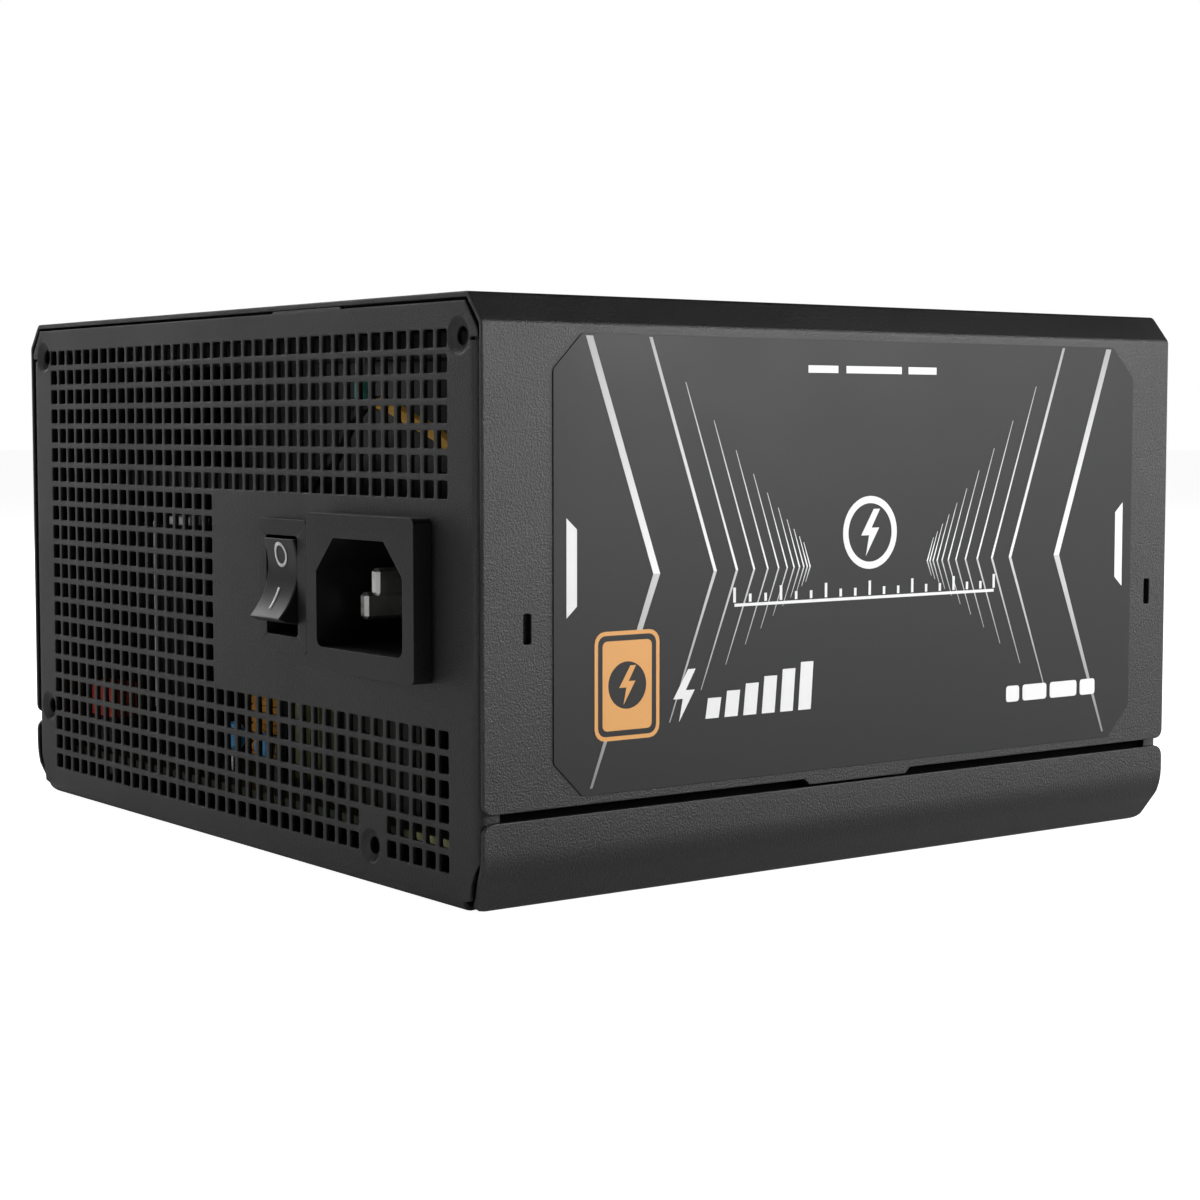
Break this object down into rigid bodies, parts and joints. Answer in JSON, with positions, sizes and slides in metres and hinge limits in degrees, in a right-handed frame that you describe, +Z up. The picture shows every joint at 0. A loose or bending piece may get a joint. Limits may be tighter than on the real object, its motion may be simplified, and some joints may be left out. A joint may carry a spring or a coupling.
{
  "type": "power supply unit",
  "caption": "Box-shaped computer power supply: folded steel case, mesh rear panel with mains inlet and rocker switch, fan behind a wire guard on top, and output sockets in front.",
  "frame": {"origin": "middle of the case's underside", "axes": "+Z up, through the fan; -Y out of the rear panel with the inlet and the switch; +Y out of the panel with the output sockets"},
  "size_m": [0.1504, 0.1443, 0.086],
  "materials": {
    "case_paint": "black wrinkle powder coat",
    "label_film": "satin printed film",
    "black_plastic": "moulded, fine grain",
    "black_steel": "blackened",
    "steel": "plated",
    "contact_metal": "tinned",
    "laminate": "solder mask",
    "insulating_film": "smooth film",
    "aluminium": "extruded",
    "capacitor_sleeve": "shrink sleeve",
    "film_capacitor": "moulded case",
    "winding_tape": "polyester tape",
    "copper_winding": "enamelled",
    "olive_winding": "enamelled",
    "ferrite": "sintered",
    "brown_lead": "extruded sleeve",
    "blue_lead": "extruded sleeve",
    "green_lead": "extruded sleeve",
    "yellow_lead": "extruded sleeve"
  },
  "bodies": {
    "case": {"ac_inlet": "black_plastic", "base_chassis": "case_paint", "board_screw_1": "steel", "board_screw_2": "steel", "board_screw_3": "steel", "board_screw_4": "steel", "bridge_rectifier": "capacitor_sleeve", "bulk_capacitor": "capacitor_sleeve", "common_mode_choke": "winding_tape", "connector_board": "laminate", "cover_screw_1": "black_steel", "cover_screw_2": "black_steel", "cover_screw_3": "black_steel", "cover_screw_4": "black_steel", "fan_bearing": "contact_metal", "fan_frame": "black_plastic", "fan_guard": "black_steel", "fan_screw_1": "black_steel", "fan_screw_2": "black_steel", "fan_screw_3": "black_steel", "fan_screw_4": "black_steel", "fan_stator": "copper_winding", "heatsink_bridge": "aluminium", "heatsink_primary": "aluminium", "heatsink_secondary": "aluminium", "inlet_pin_earth": "contact_metal", "inlet_pin_line": "contact_metal", "inlet_pin_neutral": "contact_metal", "insulating_sheet": "insulating_film", "label_left": "label_film", "label_right": "label_film", "lead_earth": "green_lead", "lead_fan": "yellow_lead", "lead_line": "brown_lead", "lead_neutral": "blue_lead", "lead_switched": "brown_lead", "line_choke": "olive_winding", "main_board": "laminate", "main_transformer": "winding_tape", "output_capacitor_1": "capacitor_sleeve", "output_capacitor_2": "capacitor_sleeve", "pfc_choke": "copper_winding", "socket_12v_1": "black_plastic", "socket_12v_2": "black_plastic", "socket_12v_3": "black_plastic", "socket_12v_4": "black_plastic", "socket_board_10": "black_plastic", "socket_board_18": "black_plastic", "socket_drive_1": "black_plastic", "socket_drive_2": "black_plastic", "socket_graphics_16": "black_plastic", "switch_housing": "black_plastic", "switch_terminal_1": "contact_metal", "switch_terminal_2": "contact_metal", "top_cover": "case_paint", "x_capacitor": "film_capacitor"},
    "rotor": {"fan_rotor": "black_plastic", "fan_magnet": "ferrite", "fan_shaft": "steel"},
    "rocker": {"switch_rocker": "black_plastic"}
  },
  "joints": [
    {"name": "fan_spin", "type": "hinge", "parent": "case", "child": "rotor", "pos_m": [0, 0, 0.07], "axis": [0, 0, 1], "continuous": true},
    {"name": "power_switch", "type": "hinge", "parent": "case", "child": "rocker", "pos_m": [0.0208, -0.0669, 0.043], "axis": [1, 0, 0], "range_deg": [0, 24]}
  ]
}
